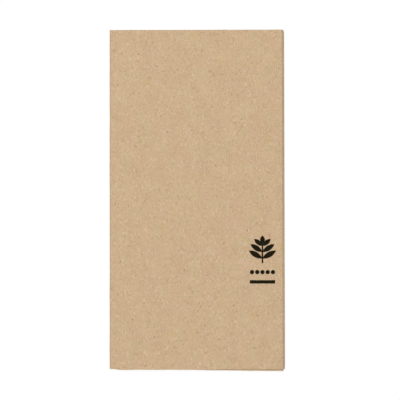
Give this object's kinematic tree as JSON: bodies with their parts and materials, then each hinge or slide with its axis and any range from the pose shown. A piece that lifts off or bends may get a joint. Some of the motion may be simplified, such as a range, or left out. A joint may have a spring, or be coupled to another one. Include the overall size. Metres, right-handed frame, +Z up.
{
  "type": "paper napkin",
  "caption": "Unbleached paper tissue napkin, folded lengthwise, across and lengthwise again into a slim flat rectangle, with rounded folded edges and layered open ends.",
  "frame": {"origin": "on the surface that the napkin lies on, under the middle of its outline", "axes": "+X across the napkin towards its last fold, +Y along it towards its cross fold, +Z up, with the printed face on top"},
  "size_m": [0.1004, 0.1958, 0.0027],
  "materials": {
    "paper": "uncoated unbleached tissue, matt and faintly fibrous"
  },
  "bodies": {
    "root": {"napkin": "paper"}
  },
  "joints": []
}
